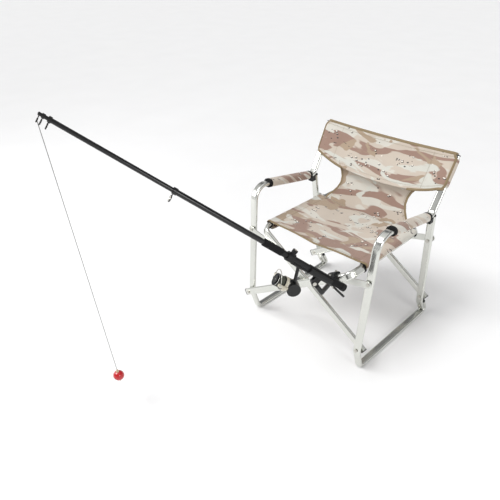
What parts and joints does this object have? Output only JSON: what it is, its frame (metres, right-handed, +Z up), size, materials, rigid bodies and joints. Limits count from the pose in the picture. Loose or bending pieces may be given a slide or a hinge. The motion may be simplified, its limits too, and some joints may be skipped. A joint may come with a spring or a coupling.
{
  "type": "fishing chair with rod holder",
  "caption": "Folding aluminium armchair with camouflage sling seat and back, and a telescopic spinning rod clamped to its crossed legs, its line ending in a ball float.",
  "frame": {"origin": "centre of the footprint on the floor, measured without the hanging line and its float", "axes": "+X across the seat to the viewer's right, +Y from the rod tip to the backrest, +Z up"},
  "size_m": [0.6024, 1.2133, 0.9941],
  "materials": {
    "tube": "bright drawn",
    "bar": "brushed",
    "camo_foam": "printed cloth over foam",
    "black_foam": "foam",
    "black_plastic": "moulded",
    "steel": "zinc plated",
    "camo_cloth": "printed woven polyester",
    "black_metal": "satin",
    "black_rubber": "matt",
    "blank": "lacquered",
    "bright_ring": "polished",
    "reel_black": "satin",
    "reel_accent": "olive gold",
    "spool_dark": "anodised",
    "line_grey": "braided",
    "reel_cream": "pearl",
    "gear": "machined",
    "float_red": "gloss",
    "float_tan": "gloss"
  },
  "bodies": {
    "left_frame": {"left_arm_tube": "tube", "left_rear_leg": "tube", "left_arm_pad": "camo_foam", "left_pad_rings": "black_foam", "left_end_caps": "black_plastic", "left_fasteners": "steel", "back_fabric": "camo_cloth", "lumbar_panel": "camo_cloth"},
    "right_frame": {"right_arm_tube": "tube", "right_rear_leg": "tube", "right_arm_pad": "camo_foam", "right_pad_rings": "black_foam", "right_end_caps": "black_plastic", "right_fasteners": "steel"},
    "leg_b": {"cross_tube_b": "tube", "cross_b_trim": "black_plastic", "centre_pivots": "steel", "clamp_jaw_front": "black_plastic", "clamp_jaw_rear": "black_plastic", "clamp_screws": "steel", "holder_arm": "black_metal", "seat_fabric": "camo_cloth"},
    "leg_a": {"cross_tube_a": "tube", "cross_a_trim": "black_plastic"},
    "left_links": {"left_stays": "bar"},
    "right_links": {"right_stays": "bar"},
    "lever": {"clamp_lever": "black_metal"},
    "holder": {"cradle": "black_plastic", "tilt_bolt": "steel", "seat_hood": "black_plastic", "butt_cap": "black_rubber", "rear_grip": "black_foam", "reel_seat": "black_plastic", "fore_grip": "black_foam", "section_one": "blank", "guide_one_frame": "black_metal", "guide_one_liner": "bright_ring", "reel_housing": "reel_black", "reel_side_cover": "reel_accent", "spool_shaft": "steel", "spool": "spool_dark", "wound_line": "line_grey"},
    "hood_screw": {"hood_knob": "black_plastic", "knob_screw": "steel"},
    "drag": {"drag_knob": "reel_black"},
    "rotor_body": {"rotor": "reel_cream"},
    "bail_body": {"bail": "steel"},
    "crank_body": {"crank": "black_metal", "drive_gear": "gear"},
    "handle": {"crank_knob": "black_rubber"},
    "rod_two": {"section_two": "blank", "guide_two_frame": "black_metal", "guide_two_liner": "bright_ring"},
    "rod_three": {"section_three": "blank", "guide_three_frame": "black_metal"},
    "rod_four": {"section_four": "blank", "guide_tip_frame": "black_metal", "line": "line_grey", "float_ball": "float_red", "float_fittings": "float_tan"}
  },
  "joints": [
    {"name": "fold", "type": "hinge", "parent": "left_frame", "child": "leg_b", "pos_m": [-0.275, 0.3576, 0.11], "axis": [0, -1, 0], "range_deg": [0, 30], "deforming": ["seat_fabric", "back_fabric", "lumbar_panel"]},
    {"name": "cross", "type": "hinge", "parent": "leg_b", "child": "leg_a", "pos_m": [0, 0.3576, 0.281], "axis": [0, 1, 0], "range_deg": [0, 60]},
    {"name": "right_frame_hinge", "type": "hinge", "parent": "leg_a", "child": "right_frame", "pos_m": [0.275, 0.3576, 0.11], "axis": [0, -1, 0], "range_deg": [0, 30]},
    {"name": "left_stay_swing", "type": "hinge", "parent": "left_frame", "child": "left_links", "pos_m": [-0.275, 0.3576, 0.3966], "axis": [0, -1, 0], "range_deg": [0, 71.46]},
    {"name": "right_stay_swing", "type": "hinge", "parent": "right_frame", "child": "right_links", "pos_m": [0.275, 0.3576, 0.3966], "axis": [0, 1, 0], "range_deg": [0, 71.46]},
    {"name": "clamp_lever_turn", "type": "hinge", "parent": "leg_b", "child": "lever", "pos_m": [0.1703, 0.0516, 0.36393], "axis": [0, -1, 0], "range_deg": [-90, 45]},
    {"name": "holder_tilt", "type": "hinge", "parent": "leg_b", "child": "holder", "pos_m": [0.1714, -0.05669, 0.43946], "axis": [-0.812, 0.5837, 0], "range_deg": [-12, 20]},
    {"name": "hood_knob_turn", "type": "hinge", "parent": "holder", "child": "hood_screw", "pos_m": [0.13319, -0.10985, 0.55854], "axis": [0.3576, 0.4975, 0.7903], "range_deg": [-180, 180]},
    {"name": "drag_knob_turn", "type": "hinge", "parent": "holder", "child": "drag", "pos_m": [0.10206, -0.15315, 0.46576], "axis": [-0.4613, -0.6417, 0.6127], "range_deg": [-180, 180]},
    {"name": "crank_turn", "type": "hinge", "parent": "holder", "child": "crank_body", "pos_m": [0.11581, -0.09977, 0.42594], "axis": [-0.812, 0.5837, 0], "continuous": true},
    {"name": "rotor_spin", "type": "hinge", "parent": "holder", "child": "rotor_body", "pos_m": [0.11359, -0.13711, 0.45044], "axis": [-0.4613, -0.6417, 0.6127], "continuous": true},
    {"name": "bail_flip", "type": "hinge", "parent": "rotor_body", "child": "bail_body", "pos_m": [0.1039, -0.15058, 0.46331], "axis": [0.812, -0.5837, 0], "range_deg": [0, 100]},
    {"name": "crank_knob_spin", "type": "hinge", "parent": "crank_body", "child": "handle", "pos_m": [0.06062, -0.11657, 0.4296], "axis": [-0.812, 0.5837, 0], "continuous": true},
    {"name": "section_two_slide", "type": "slide", "parent": "holder", "child": "rod_two", "axis": [-0.4613, -0.6417, 0.6127], "range_m": [-0.3, 0]},
    {"name": "section_three_slide", "type": "slide", "parent": "rod_two", "child": "rod_three", "axis": [-0.4613, -0.6417, 0.6127], "range_m": [0, 0.3]},
    {"name": "tip_slide", "type": "slide", "parent": "rod_three", "child": "rod_four", "axis": [-0.4613, -0.6417, 0.6127], "range_m": [0, 0.28]}
  ],
  "couplings": [
    {"joint": "cross", "follows": "fold", "ratio": 2},
    {"joint": "right_frame_hinge", "follows": "fold", "ratio": 1},
    {"joint": "left_stay_swing", "follows": "fold", "ratio": 2.382},
    {"joint": "right_stay_swing", "follows": "fold", "ratio": 2.382},
    {"joint": "rotor_spin", "follows": "crank_turn", "ratio": 5}
  ]
}
